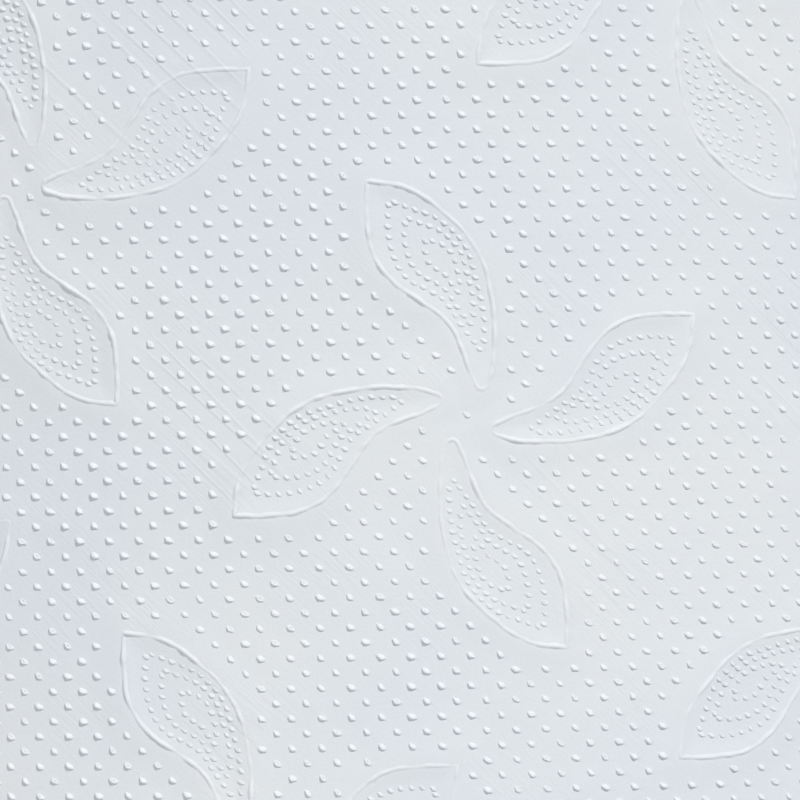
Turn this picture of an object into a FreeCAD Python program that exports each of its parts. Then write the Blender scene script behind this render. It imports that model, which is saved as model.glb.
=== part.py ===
import FreeCAD, Part
import math
import os
import Sketcher

# A paper towel roll standing on its end: the wound paper web and the cardboard core inside it.
# The frame's origin is on the axis at the bottom end, with +Z up the axis. Lengths are millimetres.

# Driving dimensions: alias, value and meaning
SIZES = (
    ("roll_diameter", 146.0, "across the outer turn of a full roll"),
    ("web_width", 279.0, "width of the web, which is the height of the standing roll"),
    ("sheet_length", 152.0, "along the web from one tear line to the next"),
    ("turn_thickness", 0.63, "one wound turn of embossed two-ply paper"),
    ("tail_angle", 75.0, "degrees from +X to the web's tail edge"),
    ("core_bore", 42.0, "inside diameter of the core"),
    ("core_wall", 0.8, "wall of the core, two plies of board"),
    ("core_recess", 0.5, "how far each end of the core stays inside the paper"),
    ("turns_shown", 7.0, "turns of the spiral line drawn on each end"),
    ("turn_line_width", 0.6, "opening between two turns at the ends"),
    ("turn_line_depth", 1.0, "how deep that opening goes"),
    ("turn_line_margin", 3.0, "paper left outside the first line and inside the last"),
    ("slit_length", 11.5, "one cut of a tear line"),
    ("slit_bond", 3.0, "paper left between two cuts"),
    ("slit_width", 0.4, "opening of a cut along the web"),
    ("slit_depth", 0.3, "how deep a cut goes into the outer turn"),
)

X_AXIS = -1  # the sketch's own horizontal axis, as the sketcher numbers it
START, END, CENTRE = range(1, 4)  # points of an arc, as the sketcher numbers them
ROLL_RADIUS = "(dimensions.roll_diameter / 2)"
CORE_RADIUS = "(dimensions.core_bore / 2 + dimensions.core_wall)"
SLIT_PITCH = "(dimensions.slit_length + dimensions.slit_bond)"


def make_sheet(doc):
    sheet = doc.addObject("Spreadsheet::Sheet", "dimensions")
    for row, (alias, value, meaning) in enumerate(SIZES, start=1):
        sheet.set(f"A{row}", alias)
        sheet.set(f"B{row}", str(value))
        sheet.set(f"C{row}", meaning)
        sheet.setAlias(f"B{row}", alias)
    doc.recompute()
    return sheet


def origin_feature(body, role):
    return next(f for f in body.Origin.OriginFeatures if f.Role == role)


def new_sketch(body, name):
    sketch = body.newObject("Sketcher::SketchObject", name)
    sketch.AttachmentSupport = (origin_feature(body, "XY_Plane"), [""])
    sketch.MapMode = "FlatFace"
    return sketch


def bind(sketch, constraint, name, expression):
    index = sketch.addConstraint(constraint)
    sketch.renameConstraint(index, name)
    sketch.setExpression(f"Constraints.{name}", expression)


def add_arc(sketch, centre_x, radius, first_angle):
    """A half circle about a point of the horizontal axis, turning anticlockwise from first_angle."""
    circle = Part.Circle(FreeCAD.Vector(centre_x, 0, 0), FreeCAD.Vector(0, 0, 1), radius)
    return sketch.addGeometry(Part.ArcOfCircle(circle, first_angle, first_angle + math.pi))


def add_line(sketch, start_x, end_x):
    return sketch.addGeometry(
        Part.LineSegment(FreeCAD.Vector(start_x, 0, 0), FreeCAD.Vector(end_x, 0, 0))
    )


def join(sketch, first, first_point, second, second_point):
    sketch.addConstraint(Sketcher.Constraint("Coincident", first, first_point, second, second_point))


def put_on_axis(sketch, shape, point):
    sketch.addConstraint(Sketcher.Constraint("PointOnObject", shape, point, X_AXIS))


def add_circle(sketch, name, radius, expression):
    circle = sketch.addGeometry(
        Part.Circle(FreeCAD.Vector(0, 0, 0), FreeCAD.Vector(0, 0, 1), radius)
    )
    join(sketch, circle, CENTRE, X_AXIS, START)
    bind(sketch, Sketcher.Constraint("Radius", circle, radius), name, expression)


def symmetric_pad(body, sketch, name, expression):
    pad = body.newObject("PartDesign::Pad", name)
    pad.Profile = sketch
    pad.SideType = "Symmetric"
    pad.setExpression("Length", expression)
    return pad


def draw_roll_section(body, sheet):
    """Two half circles whose radius drops by one turn in a full round, so that the tail edge is a step."""
    radius = sheet.roll_diameter / 2
    step = sheet.turn_thickness
    sketch = new_sketch(body, "roll_section")
    front = add_arc(sketch, 0, radius, 0)
    back = add_arc(sketch, -step / 2, radius - step / 2, math.pi)
    tail = add_line(sketch, radius - step, radius)
    join(sketch, front, CENTRE, X_AXIS, START)
    join(sketch, front, END, back, START)
    join(sketch, back, END, tail, START)
    join(sketch, tail, END, front, START)
    put_on_axis(sketch, front, START)
    put_on_axis(sketch, front, END)
    put_on_axis(sketch, back, CENTRE)
    put_on_axis(sketch, back, END)
    bind(sketch, Sketcher.Constraint("Radius", front, radius), "front_radius", ROLL_RADIUS)
    bind(
        sketch,
        Sketcher.Constraint("Radius", back, radius - step / 2),
        "back_radius",
        f"{ROLL_RADIUS} - dimensions.turn_thickness / 2",
    )
    core_radius = sheet.core_bore / 2 + sheet.core_wall
    add_circle(sketch, "core_radius", core_radius, CORE_RADIUS)
    return sketch


def draw_spiral_edge(sketch, name, turns, first_radius, half_pitch, first_expression, half_expression):
    """One edge of the spiral line: half circles about two centres, each smaller by half a pitch."""
    arcs = []
    for half in range(2 * turns):
        back = half % 2 == 1
        radius = first_radius - half * half_pitch
        arc = add_arc(sketch, -half_pitch if back else 0, radius, math.pi if back else 0)
        if arcs:
            join(sketch, arcs[-1], END, arc, START)
            put_on_axis(sketch, arc, CENTRE)
        else:
            join(sketch, arc, CENTRE, X_AXIS, START)
            put_on_axis(sketch, arc, START)
        put_on_axis(sketch, arc, END)
        bind(
            sketch,
            Sketcher.Constraint("Radius", arc, radius),
            f"{name}_{half}",
            f"{first_expression} - {half} * {half_expression}",
        )
        arcs.append(arc)
    return arcs


def draw_turn_line(body, sheet):
    """The line between the turns, a narrow spiral band that is closed by a short line at each end."""
    turns = max(1, round(sheet.turns_shown))
    width = sheet.turn_line_width
    first = sheet.roll_diameter / 2 - sheet.turn_line_margin
    last = sheet.core_bore / 2 + sheet.core_wall + sheet.turn_line_margin
    half_pitch = (first - last) / (2 * turns)
    first_text = f"({ROLL_RADIUS} - dimensions.turn_line_margin)"
    last_text = f"({CORE_RADIUS} + dimensions.turn_line_margin)"
    half_text = f"(({first_text} - {last_text}) / {2 * turns})"
    sketch = new_sketch(body, "turn_line")
    sketch.setExpression("AttachmentOffset.Base.z", "dimensions.web_width / 2")
    outer = draw_spiral_edge(
        sketch, "outer", turns, first + width / 2, half_pitch,
        f"({first_text} + dimensions.turn_line_width / 2)", half_text,
    )
    inner = draw_spiral_edge(
        sketch, "inner", turns, first - width / 2, half_pitch,
        f"({first_text} - dimensions.turn_line_width / 2)", half_text,
    )
    mouth = add_line(sketch, first - width / 2, first + width / 2)
    join(sketch, mouth, START, inner[0], START)
    join(sketch, mouth, END, outer[0], START)
    finish = add_line(sketch, last - width / 2 - half_pitch, last + width / 2 - half_pitch)
    join(sketch, finish, START, inner[-1], END)
    join(sketch, finish, END, outer[-1], END)
    return sketch


def cut_turn_lines(body, sheet):
    """The same spiral shows at both ends, because the turns run right through the roll."""
    top = body.newObject("PartDesign::Pocket", "top_turn_line")
    top.Profile = draw_turn_line(body, sheet)
    top.setExpression("Length", "dimensions.turn_line_depth")
    bottom = body.newObject("PartDesign::Mirrored", "bottom_turn_line")
    bottom.Originals = [top]
    bottom.MirrorPlane = (origin_feature(body, "XY_Plane"), [""])
    body.Tip = bottom


def draw_slit(body, sheet, number):
    """One cut of a tear line: a small rectangle across the surface, in a sketch turned to its angle."""
    angle = number * sheet.sheet_length / (sheet.roll_diameter / 2)
    angle_text = f"({number} * dimensions.sheet_length / {ROLL_RADIUS} * 1 rad)"
    # past the half round the surface lies lower, by the turn that ends at the tail edge
    drop = sheet.turn_thickness * (1 + math.cos(angle)) / 2 if angle > math.pi else 0
    drop_text = f"dimensions.turn_thickness * (1 + cos({angle_text})) / 2" if drop else "0"
    low = sheet.roll_diameter / 2 - drop - sheet.slit_depth
    high = low + 2 * sheet.slit_depth
    side = sheet.slit_width / 2
    sketch = new_sketch(body, f"slit_{number}")
    sketch.setExpression("AttachmentOffset.Rotation.Angle", angle_text)
    sketch.setExpression("AttachmentOffset.Base.z", f"({SLIT_PITCH} - dimensions.web_width) / 2")
    corners = [FreeCAD.Vector(x, y, 0) for x, y in ((low, -side), (high, -side), (high, side), (low, side))]
    lines = [
        sketch.addGeometry(Part.LineSegment(corners[i], corners[(i + 1) % 4])) for i in range(4)
    ]
    for i, line in enumerate(lines):
        join(sketch, line, END, lines[(i + 1) % 4], START)
    sketch.addConstraint(Sketcher.Constraint("Horizontal", lines[0]))
    sketch.addConstraint(Sketcher.Constraint("Horizontal", lines[2]))
    sketch.addConstraint(Sketcher.Constraint("Vertical", lines[1]))
    sketch.addConstraint(
        Sketcher.Constraint("Symmetric", lines[3], START, lines[3], END, X_AXIS)
    )
    bind(
        sketch,
        Sketcher.Constraint("DistanceX", X_AXIS, START, lines[0], START, low),
        "floor",
        f"{ROLL_RADIUS} - {drop_text} - dimensions.slit_depth",
    )
    bind(
        sketch,
        Sketcher.Constraint("DistanceX", lines[0], START, lines[0], END, high - low),
        "reach",
        "2 * dimensions.slit_depth",
    )
    bind(
        sketch,
        Sketcher.Constraint("DistanceY", lines[1], START, lines[1], END, 2 * side),
        "opening",
        "dimensions.slit_width",
    )
    return sketch


def cut_tear_lines(body, sheet):
    """Rows of cuts right across the web. The outer turn shows each one that isn't under the tail."""
    around = math.pi * sheet.roll_diameter
    rows = int((around - 2 * sheet.slit_width) / sheet.sheet_length)
    slits = int(sheet.web_width / (sheet.slit_length + sheet.slit_bond))
    for number in range(1, rows + 1):
        slit = body.newObject("PartDesign::Pocket", f"tear_line_cut_{number}")
        slit.Profile = draw_slit(body, sheet, number)
        slit.SideType = "Symmetric"
        slit.setExpression("Length", "dimensions.slit_length")
        row = body.newObject("PartDesign::LinearPattern", f"tear_line_{number}")
        row.Originals = [slit]
        row.Direction = (origin_feature(body, "Z_Axis"), [""])
        row.Mode = "Spacing"
        row.Occurrences = slits
        row.setExpression("Offset", SLIT_PITCH)
        body.Tip = row


def make_wound_paper(doc, sheet):
    """The web with all its turns as one solid, hollow where the core goes, drawn about its middle height."""
    body = doc.addObject("PartDesign::Body", "wound_paper")
    body.Label = "wound_paper"
    symmetric_pad(body, draw_roll_section(body, sheet), "wound_web", "dimensions.web_width")
    cut_turn_lines(body, sheet)
    cut_tear_lines(body, sheet)
    body.setExpression("Placement.Base.z", "dimensions.web_width / 2")
    body.setExpression("Placement.Rotation.Angle", "dimensions.tail_angle * 1 deg")
    return body


def make_cardboard_core(doc, sheet):
    """A plain tube that fills the hole in the paper and stops a little short of both ends."""
    body = doc.addObject("PartDesign::Body", "cardboard_core")
    body.Label = "cardboard_core"
    sketch = new_sketch(body, "tube_section")
    bore_radius = sheet.core_bore / 2
    add_circle(sketch, "outside", bore_radius + sheet.core_wall, CORE_RADIUS)
    add_circle(sketch, "bore", bore_radius, "dimensions.core_bore / 2")
    symmetric_pad(body, sketch, "tube", "dimensions.web_width - 2 * dimensions.core_recess")
    body.setExpression("Placement.Base.z", "dimensions.web_width / 2")
    return body


def check_document(doc):
    for thing in doc.Objects:
        if "Invalid" in thing.State or "Error" in thing.State:
            raise RuntimeError(f"{thing.Name} failed: {thing.State}")


def check_cuts(body):
    """Each cut or row of cuts has to take paper away."""
    before = None
    for feature in body.Group:
        if not feature.isDerivedFrom("PartDesign::Feature"):
            continue
        volume = feature.Shape.Volume
        if before is not None and volume >= before:
            raise RuntimeError(f"{feature.Name} cut nothing")
        before = volume


def main():
    doc = FreeCAD.newDocument("paper_towel_roll")
    sheet = make_sheet(doc)
    pieces = [make_wound_paper(doc, sheet), make_cardboard_core(doc, sheet)]
    doc.recompute()
    check_document(doc)
    os.makedirs("parts", exist_ok=True)
    for body in pieces:
        shape = body.Shape
        if shape.isNull() or not shape.isValid() or len(shape.Solids) != 1:
            raise RuntimeError(f"{body.Label} isn't one valid solid")
        check_cuts(body)
        shape.exportStep(f"parts/{body.Label}.step")
        print(f"{body.Label}: {shape.Volume / 1000:.2f} cm3, {len(shape.Faces)} faces")


main()
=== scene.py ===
import math

import bpy
from mathutils import Matrix, Vector


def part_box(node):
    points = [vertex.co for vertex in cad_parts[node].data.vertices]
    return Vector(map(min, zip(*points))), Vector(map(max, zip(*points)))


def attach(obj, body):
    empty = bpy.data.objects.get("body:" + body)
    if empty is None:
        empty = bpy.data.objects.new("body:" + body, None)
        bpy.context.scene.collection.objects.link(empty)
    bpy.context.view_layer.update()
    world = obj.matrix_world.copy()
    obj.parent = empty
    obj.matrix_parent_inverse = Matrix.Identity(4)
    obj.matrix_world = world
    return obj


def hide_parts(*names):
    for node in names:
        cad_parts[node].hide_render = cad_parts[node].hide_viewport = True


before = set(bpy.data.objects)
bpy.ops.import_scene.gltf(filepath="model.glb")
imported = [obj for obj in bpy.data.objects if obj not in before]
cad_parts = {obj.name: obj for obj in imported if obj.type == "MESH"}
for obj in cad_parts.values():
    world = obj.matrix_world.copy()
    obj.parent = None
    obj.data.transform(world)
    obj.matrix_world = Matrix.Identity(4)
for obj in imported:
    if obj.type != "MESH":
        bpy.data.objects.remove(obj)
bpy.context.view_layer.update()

# Camera: a long lens looks level at one patch of the outer turn, which fills the picture.
# The patch is as wide as 800 px are in rows of pins, which stand 15.05 px apart in the photograph.
paper_low, paper_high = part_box("wound_paper")
roll_radius = (paper_high.y - paper_low.y) / 2
pin_row = 0.00085
photo_side_px = 800
photo_row_px = 15.05
view_side = photo_side_px * pin_row / photo_row_px
camera_distance = 0.45
camera_height = 0.150
camera_side = 0.0048
camera_roll = math.radians(-0.95)
camera_data = bpy.data.cameras.new("camera")
camera_data.sensor_width = 36
camera_data.lens = camera_data.sensor_width * camera_distance / view_side
camera = bpy.data.objects.new("camera", camera_data)
camera_spot = Vector((camera_side, -roll_radius - camera_distance, camera_height))
camera_turn = Matrix.Rotation(math.pi / 2, 4, "X") @ Matrix.Rotation(camera_roll, 4, "Z")
camera.matrix_world = Matrix.Translation(camera_spot) @ camera_turn
bpy.context.scene.collection.objects.link(camera)
bpy.context.scene.camera = camera


# Light: a soft key lamp high on the right, a weaker and softer one lower on the left, and a pale
# room that fills the shadows. The camera itself sees the room as plain pale grey.
def add_sun(name, energy, spread, towards):
    lamp_data = bpy.data.lights.new(name, "SUN")
    lamp_data.energy = energy
    lamp_data.angle = math.radians(spread)
    lamp = bpy.data.objects.new(name, lamp_data)
    lamp.rotation_euler = Vector(towards).to_track_quat("Z", "Y").to_euler()
    bpy.context.scene.collection.objects.link(lamp)


add_sun("key_light", energy=2.2, spread=10, towards=(0.44, -0.65, 0.62))
add_sun("fill_light", energy=0.66, spread=30, towards=(-0.8, -0.5, 0.33))

room = bpy.data.worlds.new("room")
room.use_nodes = True
room_nodes = room.node_tree.nodes
room_links = room.node_tree.links
room_back = room_nodes["Background"]
room_back.inputs["Color"].default_value = (0.97, 0.985, 1.0, 1)
room_back.inputs["Strength"].default_value = 0.2
pale_back = room_nodes.new("ShaderNodeBackground")
pale_back.inputs["Color"].default_value = (0.86, 0.87, 0.88, 1)
seen = room_nodes.new("ShaderNodeLightPath")
choose = room_nodes.new("ShaderNodeMixShader")
room_links.new(seen.outputs["Is Camera Ray"], choose.inputs[0])
room_links.new(room_back.outputs[0], choose.inputs[1])
room_links.new(pale_back.outputs[0], choose.inputs[2])
room_links.new(choose.outputs[0], room_nodes["World Output"].inputs["Surface"])
bpy.context.scene.world = room
bpy.context.scene.view_settings.view_transform = "Standard"

# Embossed web, its paper: soft two-ply tissue, bluish white and matt. Its fibres show as a fine
# grain. Drawing the web over the pins left slanting wrinkles in patches, and a few long creases.
cool_white = (0.772, 0.804, 0.849, 1)
plain_white = (0.806, 0.832, 0.849, 1)
# Painted highlight: the crowns of the pins and the crests of the welts are painted whiter than the paper.
painted_highlight_white = (0.90, 0.92, 0.94, 1)
# Painted shade: the middles of pitted crowns are painted dark grey, standing in for the shade inside the
# pits.
pit_shade_grey = (0.27, 0.29, 0.32, 1)
blotch_scale = 52
wrinkle_height = 0.00004
wrinkle_scale = 3600
wrinkle_stretch = 0.1
wrinkle_patch_scale = 190
faintest_wrinkles = 0.08
deepest_wrinkles = 0.8
crease_scale = 420
crease_stretch = 0.025
crease_half_width = 0.035
crease_share = 0.5
crease_patch_scale = 85
fibre_scale = 5200
fibre_share = 0.3


def feed(tree, socket, value):
    if isinstance(value, bpy.types.NodeSocket):
        tree.links.new(value, socket)
    else:
        socket.default_value = value


def put(tree, kind, inputs=None, **settings):
    """Adds a node and feeds its inputs, which are named or numbered, with values or other outputs."""
    node = tree.nodes.new(kind)
    for name, value in settings.items():
        setattr(node, name, value)
    for key, value in (inputs or {}).items():
        if isinstance(key, int):
            socket = node.inputs[key]
        else:
            socket = next(s for s in node.inputs if s.enabled and s.name == key)
        feed(tree, socket, value)
    return node


def out(node, name=None):
    """A node's first output, or its output of this name."""
    return next(s for s in node.outputs if s.enabled and name in (None, s.name))


def maths(tree, operation, *values):
    return out(put(tree, "ShaderNodeMath", dict(enumerate(values)), operation=operation))


def product(tree, *values):
    result = values[0]
    for value in values[1:]:
        result = maths(tree, "MULTIPLY", result, value)
    return result


def split(tree, vector):
    return put(tree, "ShaderNodeSeparateXYZ", {0: vector}).outputs


def combine(tree, x=0.0, y=0.0, z=0.0):
    return out(put(tree, "ShaderNodeCombineXYZ", {0: x, 1: y, 2: z}))


def noise(tree, place, scale, detail):
    return out(put(tree, "ShaderNodeTexNoise", {"Vector": place, "Scale": scale, "Detail": detail}), "Fac")


def remap(tree, value, low, high, to_low=0.0, to_high=1.0):
    """Brings low to high into the range of to_low to to_high, and stops at its ends."""
    span = {"From Min": low, "From Max": high, "To Min": to_low, "To Max": to_high}
    return out(put(tree, "ShaderNodeMapRange", {"Value": value, **span}))


def mark(tree, name, output="Fac"):
    """What the mesh keeps under this name."""
    return out(put(tree, "ShaderNodeAttribute", attribute_name=name), output)


def blend(tree, share, first, second):
    mix = put(tree, "ShaderNodeMix", {"Factor": share}, data_type="RGBA")
    feed(tree, mix.inputs[6], first)
    feed(tree, mix.inputs[7], second)
    return mix.outputs[2]


def add_bump(tree, shader, height, strength, distance):
    bump = put(tree, "ShaderNodeBump", {"Height": height, "Strength": strength, "Distance": distance})
    tree.links.new(out(bump), shader.inputs["Normal"])


def down_the_slant(tree, place, stretch):
    """The flat web turned to the slant of the pins' rows, and drawn out along it."""
    along, up, _ = split(tree, place)
    down = product(tree, maths(tree, "SUBTRACT", along, up), stretch)
    return combine(tree, down, maths(tree, "ADD", along, up))


def new_material(name, colour, roughness):
    material = bpy.data.materials.new(name)
    material.use_nodes = True
    shader = material.node_tree.nodes["Principled BSDF"]
    shader.inputs["Base Color"].default_value = (*colour, 1)
    shader.inputs["Roughness"].default_value = roughness
    return material, material.node_tree, shader


def make_tissue():
    material, tree, shader = new_material("embossed_tissue", (0.80, 0.82, 0.85), 0.9)
    shader.inputs["Specular IOR Level"].default_value = 0.25
    place = mark(tree, "web", "Vector")
    blotches = remap(tree, noise(tree, place, blotch_scale, 3), 0.36, 0.64)
    paper = blend(tree, blotches, cool_white, plain_white)
    # Painted highlight: the crests of pins and welts are painted whiter.
    crest_highlights = blend(tree, mark(tree, "pressed"), paper, painted_highlight_white)
    # Painted shade: the middles of pitted crowns are painted dark grey.
    shaded_pits = blend(tree, mark(tree, "broken"), crest_highlights, pit_shade_grey)
    tree.links.new(shaded_pits, shader.inputs["Base Color"])

    streaks = noise(tree, down_the_slant(tree, place, wrinkle_stretch), wrinkle_scale, 2)
    patches = noise(tree, place, wrinkle_patch_scale, 1)
    patches = remap(tree, patches, 0.52, 0.72, faintest_wrinkles, deepest_wrinkles)
    drawn = noise(tree, down_the_slant(tree, place, crease_stretch), crease_scale, 1)
    beside = maths(tree, "ABSOLUTE", maths(tree, "SUBTRACT", drawn, 0.5))
    creases = remap(tree, beside, 0.0, crease_half_width, crease_share, 0.0)
    creased = remap(tree, noise(tree, place, crease_patch_scale, 1), 0.56, 0.68)
    relief = maths(tree, "ADD", product(tree, streaks, patches), product(tree, creases, creased))
    relief = maths(tree, "MULTIPLY_ADD", noise(tree, place, fibre_scale, 3), fibre_share, relief)
    add_bump(tree, shader, relief, 1.0, wrinkle_height)
    return material


tissue = make_tissue()

# Embossed web, wound: flat work is bent round the roll. From the tail edge the surface keeps the
# full radius for half a turn, then sinks by one thickness in the next half, as on a wound roll.
web_width = paper_high.z - paper_low.z
sheet_length = 0.152
turn_thickness = 0.00063
tail_angle = math.radians(75)


def new_tree(name, inputs):
    """A geometry tree with a geometry socket in and out, and named inputs with these values."""
    tree = bpy.data.node_groups.new(name, "GeometryNodeTree")
    tree.interface.new_socket("Geometry", in_out="INPUT", socket_type="NodeSocketGeometry")
    tree.interface.new_socket("Geometry", in_out="OUTPUT", socket_type="NodeSocketGeometry")
    kinds = {float: "NodeSocketFloat", int: "NodeSocketInt"}
    for label, value in inputs.items():
        kind = kinds.get(type(value), "NodeSocketMaterial")
        socket = tree.interface.new_socket(label, in_out="INPUT", socket_type=kind)
        socket.default_value = value
    start = tree.nodes.new("NodeGroupInput")
    return tree, start.outputs, tree.nodes.new("NodeGroupOutput").inputs[0]


def position(tree):
    return out(put(tree, "GeometryNodeInputPosition"))


def move(tree, geometry, **where):
    """Moves each point to a Position, or by an Offset."""
    return out(put(tree, "GeometryNodeSetPosition", {"Geometry": geometry, **where}))


def store(tree, geometry, name, value, data_type="FLOAT", domain="POINT"):
    kept = {"Geometry": geometry, "Name": name, "Value": value}
    return out(put(tree, "GeometryNodeStoreNamedAttribute", kept, data_type=data_type, domain=domain))


def finish_paper(tree, geometry, material):
    smooth = put(tree, "GeometryNodeSetShadeSmooth", {0: geometry})
    real = put(tree, "GeometryNodeRealizeInstances", {0: out(smooth)})
    return out(put(tree, "GeometryNodeSetMaterial", {"Geometry": out(real), "Material": material}))


def make_winding():
    tree, given, finish = new_tree(
        "wind_on_roll",
        {
            "Roll radius": roll_radius,
            "Turn thickness": turn_thickness,
            "Tail angle": tail_angle,
            "Sheet start": 0.0,
            "Sheet end": sheet_length,
            "Web width": web_width,
        },
    )
    flat = position(tree)
    along, up, height = split(tree, flat)
    marked = store(tree, given["Geometry"], "web", flat, "FLOAT_VECTOR")
    length = maths(tree, "SUBTRACT", given["Sheet end"], given["Sheet start"])
    across = maths(tree, "DIVIDE", maths(tree, "SUBTRACT", along, given["Sheet start"]), length)
    spot = combine(tree, across, maths(tree, "DIVIDE", up, given["Web width"]))
    mapped = store(tree, marked, "OFBake", spot, "FLOAT2", "CORNER")

    round_angle = maths(tree, "DIVIDE", along, given["Roll radius"])
    behind = maths(tree, "GREATER_THAN", round_angle, math.pi)
    falling = maths(tree, "ADD", maths(tree, "COSINE", round_angle), 1.0)
    sunk = product(tree, falling, product(tree, given["Turn thickness"], 0.5), behind)
    radius = maths(tree, "SUBTRACT", maths(tree, "ADD", given["Roll radius"], height), sunk)
    angle = maths(tree, "ADD", round_angle, given["Tail angle"])
    right = product(tree, radius, maths(tree, "COSINE", angle))
    back = product(tree, radius, maths(tree, "SINE", angle))
    tree.links.new(move(tree, mapped, Position=combine(tree, right, back, up)), finish)
    return tree


winding = make_winding()


def wind(tree, geometry, given):
    """Ends a tree: the flat work is wound, smoothed and given its paper."""
    group = put(tree, "GeometryNodeGroup", node_tree=winding)
    tree.links.new(geometry, group.inputs["Geometry"])
    for span_end in ("Sheet start", "Sheet end"):
        tree.links.new(given[span_end], group.inputs[span_end])
    return finish_paper(tree, out(group), given["Paper"])


# Embossed web, its pattern: rows of pins set on a slant, and whorls of four curved leaves. A leaf is
# a raised outline round three rows of smaller pins, each row a smaller outline. Curves run through
# the knots, which are in millimetres from the whorl's centre.
whorl_px = (467, 414.5)
whorl_step_along = 29.8 * pin_row
whorl_step_up = -16.7 * pin_row
whorl_count = 41
leaves_in_whorl = 4
leaf_reach = 0.016
leaf_outline_mm = (
    (-0.9, -1.4), (-0.3, -2.2), (0.2, -3.6), (1.0, -5.2), (2.6, -6.5), (4.1, -7.6), (5.2, -9.2),
    (5.5, -11.1), (5.5, -13.3), (3.3, -12.9), (1.2, -11.5), (-0.7, -9.3), (-1.5, -6.5),
    (-1.6, -3.9), (-1.3, -2.0),
)
leaf_row_mm = (
    (-0.8, -3.7), (-0.4, -4.2), (0.4, -5.3), (1.2, -6.5), (2.1, -7.1), (3.3, -7.8), (4.0, -9.0),
    (4.3, -10.6), (4.2, -12.2), (2.9, -11.7), (1.6, -11.2), (0.6, -10.4), (-0.2, -9.3),
    (-0.6, -7.9), (-1.0, -6.3), (-1.1, -4.7),
)
leaf_tip = 8
slack_scale = 60.0
ripple_scale = 330.0
bank_inside = 0.0006
bank_more_outside = 0.0008
touching = 0.00001


def web_point_at(across_px, down_px):
    """Where the line of sight through a pixel meets the outer turn: along the web and up it."""
    half = photo_side_px / 2
    reach = view_side / photo_side_px
    sight = camera_turn.to_3x3() @ Vector(
        ((across_px - half) * reach, (half - down_px) * reach, -camera_distance)
    )
    a = sight.x ** 2 + sight.y ** 2
    b = camera_spot.x * sight.x + camera_spot.y * sight.y
    c = camera_spot.x ** 2 + camera_spot.y ** 2 - roll_radius ** 2
    hit = camera_spot + sight * ((-b - math.sqrt(b * b - a * c)) / a)
    angle = (math.atan2(hit.y, hit.x) - tail_angle) % (2 * math.pi)
    return angle * roll_radius, hit.z


whorl_along, whorl_up = web_point_at(*whorl_px)
close_along, close_up = web_point_at(photo_side_px / 2, photo_side_px / 2)
close_reach = 0.56 * view_side
sheet_sizes = {
    "Sheet start": 0.0,
    "Sheet end": sheet_length,
    "Web width": web_width,
    "Whorl along": whorl_along,
    "Whorl up": whorl_up,
    "Close along": close_along,
    "Close up": close_up,
    "Close reach": close_reach,
    "Slack": 0.0003,
    "Ripple": 0.00009,
    "Bank height": 0.00011,
    "Paper": tissue,
}


def make_loop(name, knots_mm):
    """A closed curve, smooth at every knot but the leaf's tip."""
    data = bpy.data.curves.new(name, "CURVE")
    data.dimensions = "3D"
    data.resolution_u = 10
    spline = data.splines.new("BEZIER")
    spline.bezier_points.add(len(knots_mm) - 1)
    for number, (knot, place) in enumerate(zip(spline.bezier_points, knots_mm)):
        knot.co = Vector((*place, 0)) / 1000
        kind = "VECTOR" if number == leaf_tip else "AUTO"
        knot.handle_left_type = kind
        knot.handle_right_type = kind
    spline.use_cyclic_u = True
    loop = bpy.data.objects.new(name, data)
    bpy.context.scene.collection.objects.link(loop)
    return loop


leaf_outline = make_loop("leaf_outline", leaf_outline_mm)
leaf_row = make_loop("leaf_row", leaf_row_mm)


def loop_shape(tree, loop):
    return out(put(tree, "GeometryNodeObjectInfo", {"Object": loop}), "Geometry")


def inside_sheet(tree, given, margin):
    """True where a flat point lies on the sheet, or no more than the margin past its edges."""
    along, up, _ = split(tree, position(tree))
    return product(
        tree,
        maths(tree, "GREATER_THAN", along, maths(tree, "SUBTRACT", given["Sheet start"], margin)),
        maths(tree, "LESS_THAN", along, maths(tree, "ADD", given["Sheet end"], margin)),
        maths(tree, "GREATER_THAN", up, -margin),
        maths(tree, "LESS_THAN", up, maths(tree, "ADD", given["Web width"], margin)),
    )


def keep(tree, geometry, selection, domain="POINT"):
    """Deletes what isn't selected."""
    unwanted = out(put(tree, "FunctionNodeBooleanMath", {0: selection}, operation="NOT"))
    parts = {"Geometry": geometry, "Selection": unwanted}
    return out(put(tree, "GeometryNodeDeleteGeometry", parts, domain=domain))


def point_grid(tree, columns, rows, width, height):
    sizes = {"Size X": width, "Size Y": height, "Vertices X": columns, "Vertices Y": rows}
    return out(put(tree, "GeometryNodeMeshGrid", sizes), "Mesh")


def on_whorls(tree, given, leaf):
    """Repeats one leaf four times about each whorl's centre, on every whorl that reaches the sheet."""
    whorl = put(tree, "GeometryNodeJoinGeometry")
    for number in range(leaves_in_whorl):
        turned = put(tree, "GeometryNodeTransform", {"Geometry": leaf})
        turned.inputs["Rotation"].default_value = (0, 0, number * math.tau / leaves_in_whorl)
        tree.links.new(out(turned), whorl.inputs[0])
    grid = point_grid(tree, whorl_count, whorl_count, whorl_count - 1.0, whorl_count - 1.0)
    column, row, _ = split(tree, position(tree))
    along = maths(tree, "MULTIPLY_ADD", column, whorl_step_along, given["Whorl along"])
    up = maths(tree, "MULTIPLY_ADD", column, whorl_step_up, given["Whorl up"])
    along = maths(tree, "MULTIPLY_ADD", row, -whorl_step_up, along)
    up = maths(tree, "MULTIPLY_ADD", row, whorl_step_along, up)
    centres = move(tree, grid, Position=combine(tree, along, up))
    near = keep(tree, centres, inside_sheet(tree, given, leaf_reach))
    copies = put(tree, "GeometryNodeInstanceOnPoints", {"Points": near, "Instance": out(whorl)})
    return out(put(tree, "GeometryNodeRealizeInstances", {0: out(copies)}))


def filled_leaves(tree, given):
    filled = put(tree, "GeometryNodeFillCurve", {"Curve": loop_shape(tree, leaf_outline)})
    return on_whorls(tree, given, out(filled))


def distance_to(tree, geometry, elements):
    near = put(tree, "GeometryNodeProximity", {"Geometry": geometry}, target_element=elements)
    return out(near, "Distance")


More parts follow.
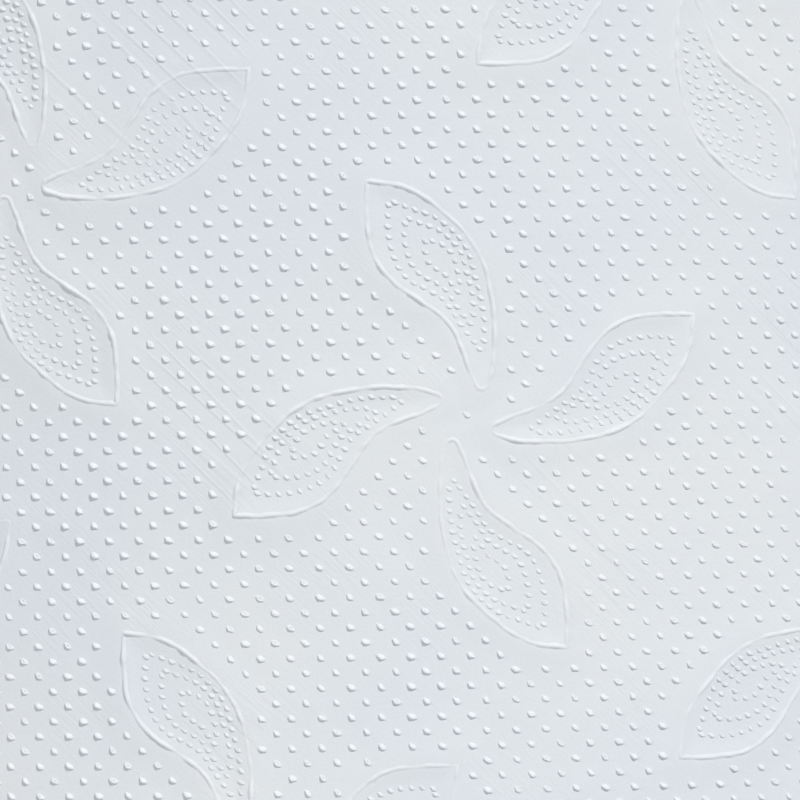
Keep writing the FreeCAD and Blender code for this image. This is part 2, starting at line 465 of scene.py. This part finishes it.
def raise_to_ground(tree, geometry, given):
    """Lifts flat work by the slack ground, which rises to each outline from outside, and falls more
    steeply inside."""
    place = position(tree)
    slack = maths(tree, "SUBTRACT", noise(tree, place, slack_scale, 1), 0.5)
    ripple = maths(tree, "SUBTRACT", noise(tree, place, ripple_scale, 2), 0.5)
    height = maths(tree, "MULTIPLY_ADD", ripple, given["Ripple"], product(tree, slack, given["Slack"]))
    outlines = {"Curve": on_whorls(tree, given, loop_shape(tree, leaf_outline))}
    edge = distance_to(tree, out(put(tree, "GeometryNodeCurveToMesh", outlines)), "EDGES")
    outside = maths(tree, "GREATER_THAN", distance_to(tree, filled_leaves(tree, given), "FACES"), touching)
    reach = maths(tree, "MULTIPLY_ADD", outside, bank_more_outside, bank_inside)
    share = maths(tree, "DIVIDE", edge, reach)
    bank = maths(tree, "EXPONENT", product(tree, product(tree, share, share), -1.0))
    height = maths(tree, "MULTIPLY_ADD", bank, given["Bank height"], height)
    return move(tree, geometry, Offset=combine(tree, z=height))


# Embossed web, ground pins: each pin pushed the paper up into a small crumpled dome, and sank the
# crowns of some into pits, whose middles are painted dark grey as painted shade. They stand on a
# square grid set on a slant, and keep clear of the leaves.
turn_length = 2 * math.pi * roll_radius
pin_spacing = 2 * pin_row
spare_pins = 40
pin_from_edge = 0.0004
pin_from_leaf = 0.00076
pin_foot = 0.00003
smallest_pin = 0.9
largest_pin = 1.08
faintest_pin = 0.7
firmest_pin = 1.12
most_turned = -0.85
least_turned = -0.4
firmness_scale = 60.0
uneven_scale = 3800.0
pit_scale = 560.0
pin_stretch = 1.42
pin_squeeze = 0.68
pin_lean = 0.44
crown_fall = 2.2
crown_rim = 0.3
pit_depth = 1.1


def is_close(tree, given, reach=1.0):
    """True near the patch that the camera looks at, where the work is cut finer."""
    along, up, _ = split(tree, position(tree))
    limit = product(tree, given["Close reach"], reach)
    near = maths(tree, "COMPARE", along, given["Close along"], limit)
    return product(tree, near, maths(tree, "COMPARE", up, given["Close up"], limit))


def random_value(tree, seed, low, high):
    spread = {"Seed": seed, "Min": low, "Max": high}
    return out(put(tree, "FunctionNodeRandomValue", spread), "Value")


def make_dome(tree, given, sides, rings):
    """A dome that leans down to the left, as the web was drawn on while the pins were in it."""
    radius = given["Pin radius"]
    cone = put(
        tree,
        "GeometryNodeMeshCone",
        {
            "Vertices": sides,
            "Side Segments": rings,
            "Radius Top": 0.0,
            "Radius Bottom": radius,
            "Depth": 0.0001,
        },
        fill_type="NONE",
    )
    across, over, _ = split(tree, position(tree))
    flat = {0: combine(tree, across, over)}
    length = out(put(tree, "ShaderNodeVectorMath", flat, operation="LENGTH"), "Value")
    share = maths(tree, "DIVIDE", length, radius)
    inner = maths(tree, "SUBTRACT", 1.0, share)
    fall = maths(tree, "SUBTRACT", 1.0, maths(tree, "POWER", share, 2.0))
    lift = maths(tree, "MULTIPLY_ADD", fall, given["Pin height"], -pin_foot)
    lean = product(tree, inner, product(tree, radius, -pin_lean))
    wide = product(tree, across, pin_stretch)
    narrow = maths(tree, "MULTIPLY_ADD", over, pin_squeeze, lean)
    dome = move(tree, out(cone, "Mesh"), Position=combine(tree, wide, narrow, lift))
    crown = maths(tree, "MULTIPLY_ADD", share, -crown_fall, 1.0)
    dome = store(tree, dome, "crown", crown)
    # The crown is marked for a painted highlight, strongest at its top.
    return store(tree, dome, "pressed", product(tree, fall, given["Painted highlight"]))


def domes_on(tree, points, given, fine_sides, fine_rings, plain_sides, seed):
    """Stands a dome on every flat point: a fine one where the camera is close, a plain one elsewhere."""
    size = random_value(tree, seed, smallest_pin, largest_pin)
    turn = random_value(tree, seed, most_turned, least_turned)
    spin = put(tree, "FunctionNodeEulerToRotation", {0: combine(tree, z=turn)})
    firm = noise(tree, position(tree), firmness_scale, 1)
    firm = remap(tree, firm, 0.38, 0.58, faintest_pin, firmest_pin)
    scale = combine(tree, size, size, product(tree, size, firm))
    close = is_close(tree, given)
    far = maths(tree, "SUBTRACT", 1.0, close)
    both = put(tree, "GeometryNodeJoinGeometry")
    for chosen, sides, rings in ((close, fine_sides, fine_rings), (far, plain_sides, 1)):
        dome = make_dome(tree, given, sides, rings)
        copies = put(
            tree,
            "GeometryNodeInstanceOnPoints",
            {
                "Points": points,
                "Selection": chosen,
                "Instance": dome,
                "Rotation": out(spin),
                "Scale": scale,
            },
        )
        real = put(tree, "GeometryNodeRealizeInstances", {0: out(copies)})
        tree.links.new(out(real), both.inputs[0])
    return out(both)


def vectors(tree, operation, inputs):
    return out(put(tree, "ShaderNodeVectorMath", inputs, operation=operation))


def crumple(tree, geometry, given):
    """Moves each point of the flat work a little, so that no two pins are quite alike, sinks the
    crowns of some into pits, and marks the middles of the pits for a painted shade."""
    place = position(tree)
    uneven = put(tree, "ShaderNodeTexNoise", {"Vector": place, "Scale": uneven_scale, "Detail": 1.0})
    push = vectors(tree, "SUBTRACT", {0: out(uneven, "Color"), 1: (0.5, 0.5, 0.5)})
    push = vectors(tree, "MULTIPLY", {0: push, 1: (1.0, 1.0, 0.8)})
    push = vectors(tree, "SCALE", {0: push, "Scale": given["Unevenness"]})
    crown = out(put(tree, "GeometryNodeInputNamedAttribute", {"Name": "crown"}, data_type="FLOAT"))
    pitted = maths(tree, "GREATER_THAN", noise(tree, place, pit_scale, 0), given["Whole crowns"])
    pit = product(tree, pitted, maths(tree, "MAXIMUM", crown, 0.0))
    pit = product(tree, pit, product(tree, given["Pin height"], -pit_depth))
    offset = vectors(tree, "ADD", {0: push, 1: combine(tree, z=pit)})
    # The middle of each pit is marked for a painted shade.
    pit_shade = maths(tree, "MAXIMUM", maths(tree, "SUBTRACT", crown, crown_rim), 0.0)
    marked = store(tree, geometry, "broken", product(tree, pitted, pit_shade))
    moved = move(tree, marked, Offset=offset)
    return out(put(tree, "GeometryNodeRemoveAttribute", {"Geometry": moved, "Name": "crown"}))


def make_pin_tree():
    tree, given, finish = new_tree(
        "ground_pins",
        {
            **sheet_sizes,
            "Pin radius": 0.00024,
            "Pin height": 0.00018,
            "Unevenness": 0.00012,
            "Whole crowns": 0.6,
            "Painted highlight": 0.8,
        },
    )
    leaves = filled_leaves(tree, given)
    both = put(tree, "GeometryNodeJoinGeometry")
    columns = 2 * (int(turn_length / pin_spacing) + spare_pins)
    rows = 2 * (int(web_width / pin_spacing) + spare_pins)
    for shift in (0.0, pin_row):
        grid = point_grid(tree, columns + 1, rows + 1, pin_spacing * columns, pin_spacing * rows)
        along = maths(tree, "ADD", given["Whorl along"], shift)
        up = maths(tree, "ADD", given["Whorl up"], shift)
        tree.links.new(move(tree, grid, Offset=combine(tree, along, up)), both.inputs[0])
    points = keep(tree, out(both), inside_sheet(tree, given, -pin_from_edge))
    clear = maths(tree, "GREATER_THAN", distance_to(tree, leaves, "FACES"), pin_from_leaf)
    points = raise_to_ground(tree, keep(tree, points, clear), given)
    domes = domes_on(tree, points, given, fine_sides=10, fine_rings=4, plain_sides=5, seed=11)
    tree.links.new(wind(tree, crumple(tree, domes, given), given), finish)
    return tree


def run_tree(name, tree, values, flat=None):
    """Runs a tree, on flat work if there is any, and keeps the result as a plain mesh at the origin."""
    source = bpy.data.objects.new(name, flat or bpy.data.meshes.new("flat"))
    bpy.context.scene.collection.objects.link(source)
    modifier = source.modifiers.new(tree.name, "NODES")
    modifier.node_group = tree
    for item in tree.interface.items_tree:
        if item.in_out == "INPUT" and item.name in values:
            modifier[item.identifier] = values[item.name]
    bpy.context.view_layer.update()
    ready = source.evaluated_get(bpy.context.evaluated_depsgraph_get())
    mesh = bpy.data.meshes.new_from_object(ready)
    paper = [material for material in mesh.materials if material]
    if "material_index" in mesh.attributes:
        mesh.attributes.remove(mesh.attributes["material_index"])
    mesh.materials.clear()
    mesh.materials.append(paper[0])
    source.modifiers.clear()
    bpy.data.objects.remove(source)
    piece = bpy.data.objects.new(name, mesh)
    mesh.name = name
    bpy.context.scene.collection.objects.link(piece)
    return piece


def settle(piece, node):
    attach(piece, "root")
    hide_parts(node)


sheet_edges = [sheet_length * number for number in range(int(turn_length / sheet_length) + 1)]
sheet_edges.append(turn_length)
sheets = [
    (number, {"Sheet start": start, "Sheet end": end})
    for number, (start, end) in enumerate(zip(sheet_edges, sheet_edges[1:]), start=1)
]
pin_tree = make_pin_tree()
for number, span in sheets:
    settle(run_tree(f"sheet_{number}_pins", pin_tree, span), "wound_paper")

# Embossed web, leaves: the outline is a raised welt that fades and swells here and there, and small
# pins stand in rows inside it. The rows close in round the leaf's heart.
leaf_heart = Vector((0.00107, -0.00881, 0))
leaf_row_shares = (1.0, 0.71, 0.36)
leaf_pin_step = 0.00062
leaf_pin_from_edge = 0.0003
welt_from_edge = 0.0007
welt_close_reach = 1.25
fade_scale = 330.0
faintest_welt = 0.65
firmest_welt = 1.2
bead_scale = 1300.0
faintest_bead = 0.5
firmest_bead = 1.2


def leaf_pins(tree, given):
    rows = put(tree, "GeometryNodeJoinGeometry")
    for share in leaf_row_shares:
        row = put(tree, "GeometryNodeTransform", {"Geometry": loop_shape(tree, leaf_row)})
        row.inputs["Translation"].default_value = leaf_heart * (1 - share)
        row.inputs["Scale"].default_value = (share, share, 1)
        dots = put(tree, "GeometryNodeCurveToPoints", {"Curve": out(row)}, mode="LENGTH")
        feed(tree, next(s for s in dots.inputs if s.enabled and s.name == "Length"), leaf_pin_step)
        tree.links.new(out(dots, "Points"), rows.inputs[0])
    points = keep(tree, on_whorls(tree, given, out(rows)), inside_sheet(tree, given, -leaf_pin_from_edge))
    points = raise_to_ground(tree, points, given)
    domes = domes_on(tree, points, given, fine_sides=7, fine_rings=3, plain_sides=4, seed=23)
    return crumple(tree, domes, given)


def sweep(tree, path, stops, lift_at, width):
    """Sweeps a section of so many stops along a flat path. In a section, -Y is out of the web."""
    upright = put(tree, "GeometryNodeSetCurveNormal", {"Curve": path}, mode="Z_UP")
    step = (2 / (stops - 1), 0, 0)
    line = put(tree, "GeometryNodeMeshLine", {"Count": stops, "Start Location": (-1, 0, 0), "Offset": step})
    strip = put(tree, "GeometryNodeMeshToCurve", {0: out(line)})
    side, _, _ = split(tree, position(tree))
    wide = product(tree, side, product(tree, width, 0.5))
    section = move(tree, out(strip), Position=combine(tree, wide, lift_at(tree, side)))
    return out(put(tree, "GeometryNodeCurveToMesh", {"Curve": out(upright), "Profile Curve": section}))


def raise_welts(tree, given, outlines, steps, stops):
    def cosine_lift(tree, side):
        swell = maths(tree, "COSINE", product(tree, side, math.pi))
        swell = maths(tree, "MULTIPLY_ADD", swell, 0.5, 0.5)
        return product(tree, swell, product(tree, given["Welt height"], -1.0))

    path = out(put(tree, "GeometryNodeResampleCurve", {"Curve": outlines, "Count": steps}))
    swept = sweep(tree, path, stops, cosine_lift, given["Welt width"])
    place = position(tree)
    _, _, rise = split(tree, place)
    fade = remap(tree, noise(tree, place, fade_scale, 1), 0.4, 0.6, faintest_welt, firmest_welt)
    beads = remap(tree, noise(tree, place, bead_scale, 1), 0.4, 0.6, faintest_bead, firmest_bead)
    strength = product(tree, fade, beads)
    lost = product(tree, maths(tree, "SUBTRACT", strength, 1.0), rise)
    # The welt's crest is marked for a painted highlight, strongest at its top.
    highlight_share = product(tree, maths(tree, "DIVIDE", rise, given["Welt height"]), given["Painted highlight"])
    crest = store(tree, swept, "pressed", product(tree, highlight_share, strength))
    offset = combine(tree, z=maths(tree, "SUBTRACT", lost, given["Welt foot"]))
    grounded = raise_to_ground(tree, move(tree, crest, Offset=offset), given)
    return keep(tree, grounded, inside_sheet(tree, given, -welt_from_edge), "FACE")


def make_leaf_tree():
    tree, given, finish = new_tree(
        "leaf_welts",
        {
            **sheet_sizes,
            "Pin radius": 0.00021,
            "Pin height": 0.00012,
            "Unevenness": 0.00009,
            "Whole crowns": 0.56,
            "Painted highlight": 0.45,
            "Welt width": 0.00048,
            "Welt height": 0.00015,
            "Welt foot": 0.00004,
        },
    )
    everything = put(tree, "GeometryNodeJoinGeometry")
    tree.links.new(leaf_pins(tree, given), everything.inputs[0])
    outlines = on_whorls(tree, given, loop_shape(tree, leaf_outline))
    parts = put(tree, "GeometryNodeSeparateGeometry", {"Geometry": outlines}, domain="CURVE")
    tree.links.new(is_close(tree, given, welt_close_reach), parts.inputs["Selection"])
    for chosen, steps, stops in ((parts.outputs[0], 150, 7), (parts.outputs[1], 22, 3)):
        tree.links.new(raise_welts(tree, given, chosen, steps, stops), everything.inputs[0])
    tree.links.new(wind(tree, out(everything), given), finish)
    return tree


leaf_tree = make_leaf_tree()
for number, span in sheets:
    settle(run_tree(f"sheet_{number}_leaves", leaf_tree, span), "wound_paper")

# Embossed web, ground: the paper between the pins, slack and gently uneven. A tear line cuts it
# across at every sheet but for its bonds, and torn bonds stand out from the tail edge as tabs.
ground_step = 0.0021
fine_ground_step = 0.00033
fine_ground_share = 1.05
rim_thickness = 0.0004
rim_inset = 0.0008
tear_gap = 0.0001
tear_pitch = 0.0145
tear_bond = 0.003
tab_length = 0.0006
tab_tip = 0.0004
tab_top_shoulder = 0.0008
tab_bottom_shoulder = 0.0005


def spaced(start, end, coarse, fine, near_start, near_end):
    """Positions from start to end, close together between near_start and near_end."""
    stops = [start]
    for low, high, step in (
        (start, near_start, coarse),
        (near_start, near_end, fine),
        (near_end, end, coarse),
    ):
        low = max(low, start)
        high = min(high, end)
        if high - low > fine / 2:
            count = max(1, round((high - low) / step))
            stops += [low + (high - low) * index / count for index in range(1, count + 1)]
    return stops


def add_bonds(points, faces, start, end):
    """Adds the bonds of the tear line at a sheet's end, or the torn ones at the tail edge."""
    for level in range(int(web_width / tear_pitch) + 1):
        bottom = max(0.0, tear_pitch * level - tear_bond / 2)
        top = tear_pitch * level + tear_bond / 2
        if start < tear_gap * 2:
            first = len(points)
            reach = start - tab_length
            points += [(start, bottom, 0), (start, top, 0), (reach, top - tab_top_shoulder, 0)]
            points += [(reach - tab_tip, (bottom + top) / 2, 0), (reach, bottom + tab_bottom_shoulder, 0)]
            faces.append(tuple(range(first, len(points))))
        if end < turn_length - tear_gap * 2:
            first = len(points)
            points += [(end, bottom, 0), (end + tear_gap * 2, bottom, 0)]
            points += [(end + tear_gap * 2, top, 0), (end, top, 0)]
            faces.append(tuple(range(first, len(points))))


def make_flat_sheet(start, end):
    """A flat grid with a rim turned inward and back under it, so that its edges show a thickness."""
    reach = close_reach * fine_ground_share
    alongs = spaced(start, end, ground_step, fine_ground_step, close_along - reach, close_along + reach)
    if start < close_along < end:
        ups = spaced(0.0, web_width, ground_step, fine_ground_step, close_up - reach, close_up + reach)
    else:
        ups = spaced(0.0, web_width, ground_step, ground_step, 0.0, 0.0)
    columns = len(alongs)
    rows = len(ups)
    points = [(along, up, 0.0) for up in ups for along in alongs]
    faces = []
    for row in range(rows - 1):
        for column in range(columns - 1):
            first = row * columns + column
            faces.append((first, first + 1, first + 1 + columns, first + columns))
    rim = list(range(columns))
    rim += [row * columns + columns - 1 for row in range(1, rows)]
    rim += [(rows - 1) * columns + column for column in range(columns - 2, -1, -1)]
    rim += [row * columns for row in range(rows - 2, 0, -1)]
    top_rim = len(points)
    low_rim = top_rim + len(rim)
    under_rim = low_rim + len(rim)
    points += [points[index] for index in rim]
    points += [(*points[index][:2], -rim_thickness) for index in rim]
    for index in rim:
        along = min(max(points[index][0], start + rim_inset), end - rim_inset)
        up = min(max(points[index][1], rim_inset), web_width - rim_inset)
        points.append((along, up, -rim_thickness))
    for index in range(len(rim)):
        after = (index + 1) % len(rim)
        faces.append((top_rim + after, top_rim + index, low_rim + index, low_rim + after))
        faces.append((low_rim + after, low_rim + index, under_rim + index, under_rim + after))
    add_bonds(points, faces, start, end)
    mesh = bpy.data.meshes.new("flat_sheet")
    mesh.from_pydata(points, [], faces)
    return mesh


def make_ground_tree():
    tree, given, finish = new_tree("sheet_ground", sheet_sizes)
    uneven = raise_to_ground(tree, given["Geometry"], given)
    tree.links.new(wind(tree, uneven, given), finish)
    return tree


ground_tree = make_ground_tree()
for number, span in sheets:
    flat = make_flat_sheet(span["Sheet start"] + tear_gap, span["Sheet end"] - tear_gap)
    settle(run_tree(f"sheet_{number}", ground_tree, span, flat), "wound_paper")
for loop in (leaf_outline, leaf_row):
    bpy.data.objects.remove(loop)

# Wound turns: under the outer turn lies the next one, and at both ends the edges of all the turns
# show, each a soft crease that doesn't quite keep the same height as its neighbours.
core_low, core_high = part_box("cardboard_core")
core_radius = (core_high.x - core_low.x) / 2
beneath_inset = 0.0004
beneath_columns = 180
turns_short_of_core = 0.6
crease_depth = 0.0007
stops_in_crease = 3
end_scale = 420.0


def make_beneath_tree():
    tree, given, finish = new_tree("turn_beneath", {**sheet_sizes, "Depth": turn_thickness})
    depth = product(tree, given["Depth"], -1.0)
    sunk = move(tree, given["Geometry"], Offset=combine(tree, z=depth))
    tree.links.new(wind(tree, sunk, given), finish)
    return tree


def make_flat_turn():
    alongs = [turn_length * index / beneath_columns for index in range(beneath_columns + 1)]
    points = [(along, up, 0) for up in (beneath_inset, web_width - beneath_inset) for along in alongs]
    above = beneath_columns + 1
    faces = [(i, i + 1, i + 1 + above, i + above) for i in range(beneath_columns)]
    mesh = bpy.data.meshes.new("flat_turn")
    mesh.from_pydata(points, [], faces)
    return mesh


whole_turn = {"Sheet start": 0.0, "Sheet end": turn_length}
beneath = run_tree("turn_beneath", make_beneath_tree(), whole_turn, make_flat_turn())
settle(beneath, "wound_paper")


def spiral_point(tree, given):
    """The web's place on its way in, where each turn keeps its radius for half a round."""
    share = out(put(tree, "GeometryNodeSplineParameter"), "Factor")
    turns = product(tree, share, given["Turns"])
    whole = maths(tree, "FLOOR", turns)
    part = maths(tree, "SUBTRACT", turns, whole)
    sunk = maths(tree, "COSINE", product(tree, part, math.tau))
    sunk = maths(tree, "MULTIPLY_ADD", sunk, 0.5, 0.5)
    sunk = product(tree, sunk, maths(tree, "GREATER_THAN", part, 0.5))
    sunk = product(tree, maths(tree, "ADD", whole, sunk), given["Turn thickness"])
    outermost = maths(tree, "SUBTRACT", given["Roll radius"], given["Outer inset"])
    radius = maths(tree, "SUBTRACT", outermost, sunk)
    angle = maths(tree, "MULTIPLY_ADD", turns, math.tau, given["Tail angle"])
    right = product(tree, radius, maths(tree, "COSINE", angle))
    return combine(tree, right, product(tree, radius, maths(tree, "SINE", angle)))


def crease_lift(tree, side):
    return product(tree, maths(tree, "ABSOLUTE", side), crease_depth)


def make_edge_tree():
    tree, given, finish = new_tree(
        "turn_edges",
        {
            "Roll radius": roll_radius,
            "Turn thickness": turn_thickness,
            "Tail angle": tail_angle,
            "Outer inset": 0.00035,
            "Turns": (roll_radius - core_radius) / turn_thickness - turns_short_of_core,
            "Steps": 8200,
            "Face height": 0.0,
            "Face sign": 1.0,
            "Unevenness": 0.0006,
            "Paper": tissue,
        },
    )
    line = {"Curve": out(put(tree, "GeometryNodeCurvePrimitiveLine")), "Count": given["Steps"]}
    steps = out(put(tree, "GeometryNodeResampleCurve", line))
    path = move(tree, steps, Position=spiral_point(tree, given))
    swept = sweep(tree, path, stops_in_crease, crease_lift, given["Turn thickness"])
    across, over, height = split(tree, position(tree))
    plan = combine(tree, across, over, given["Face height"])
    uneven = product(tree, noise(tree, plan, end_scale, 2), given["Unevenness"])
    level = maths(tree, "SUBTRACT", height, uneven)
    level = maths(tree, "MULTIPLY_ADD", level, given["Face sign"], given["Face height"])
    moved = move(tree, swept, Position=combine(tree, across, over, level))
    tree.links.new(finish_paper(tree, moved, given["Paper"]), finish)
    return tree


edge_tree = make_edge_tree()
for name, face_height, face_sign in (("top_end", web_width, 1.0), ("bottom_end", 0.0, -1.0)):
    face = {"Face height": paper_low.z + face_height, "Face sign": face_sign}
    end_face = run_tree(name, edge_tree, face)
    if face_sign < 0:
        end_face.data.flip_normals()
    settle(end_face, "wound_paper")

# Core: a thin tube wound from kraft board, a little shorter than the web is wide. The paper is wound
# straight on it, and its cut edges are slightly broken.
core_wall = 0.0008
core_edge = 0.0002
core_sides = 160
kraft_brown = (0.42, 0.30, 0.20)
kraft_dark = (0.33, 0.23, 0.15, 1)
kraft_pale = (0.52, 0.39, 0.27, 1)
fleck_scale = 900
fleck_height = 0.0001


def make_core():
    inner = core_radius - core_wall
    low, high = core_low.z, core_high.z
    section = (
        (inner, low + core_edge), (inner + core_edge, low), (core_radius - core_edge, low),
        (core_radius, low + core_edge), (core_radius, high - core_edge), (core_radius - core_edge, high),
        (inner + core_edge, high), (inner, high - core_edge),
    )
    points = []
    for number in range(core_sides):
        angle = math.tau * number / core_sides
        points += [(r * math.cos(angle), r * math.sin(angle), z) for r, z in section]
    count = len(section)
    faces = []
    for number in range(core_sides):
        here = number * count
        there = (number + 1) % core_sides * count
        for step in range(count):
            after = (step + 1) % count
            faces.append((here + step, there + step, there + after, here + after))
    mesh = bpy.data.meshes.new("core_tube")
    mesh.from_pydata(points, [], faces)
    for face in mesh.polygons:
        face.use_smooth = True
    core = bpy.data.objects.new("core_tube", mesh)
    bpy.context.scene.collection.objects.link(core)
    return core


def make_kraft():
    material, tree, shader = new_material("kraft_tube", kraft_brown, 0.85)
    fleck = noise(tree, out(put(tree, "ShaderNodeTexCoord"), "Object"), fleck_scale, 4)
    tree.links.new(blend(tree, fleck, kraft_dark, kraft_pale), shader.inputs["Base Color"])
    add_bump(tree, shader, fleck, 0.4, fleck_height)
    return material


core = make_core()
core.data.materials.append(make_kraft())
settle(core, "cardboard_core")

# Floor: a plain pale surface that the roll stands on and casts its shadow on. It isn't part of the
# roll.
floor_reach = 6.0
floor_corners = [(x * floor_reach, y * floor_reach, 0) for x, y in ((-1, -1), (1, -1), (1, 1), (-1, 1))]
floor_mesh = bpy.data.meshes.new("floor")
floor_mesh.from_pydata(floor_corners, [], [(0, 1, 2, 3)])
floor = bpy.data.objects.new("floor", floor_mesh)
floor_paint, _, _ = new_material("floor_paint", (0.72, 0.73, 0.74), 0.8)
floor_mesh.materials.append(floor_paint)
bpy.context.scene.collection.objects.link(floor)
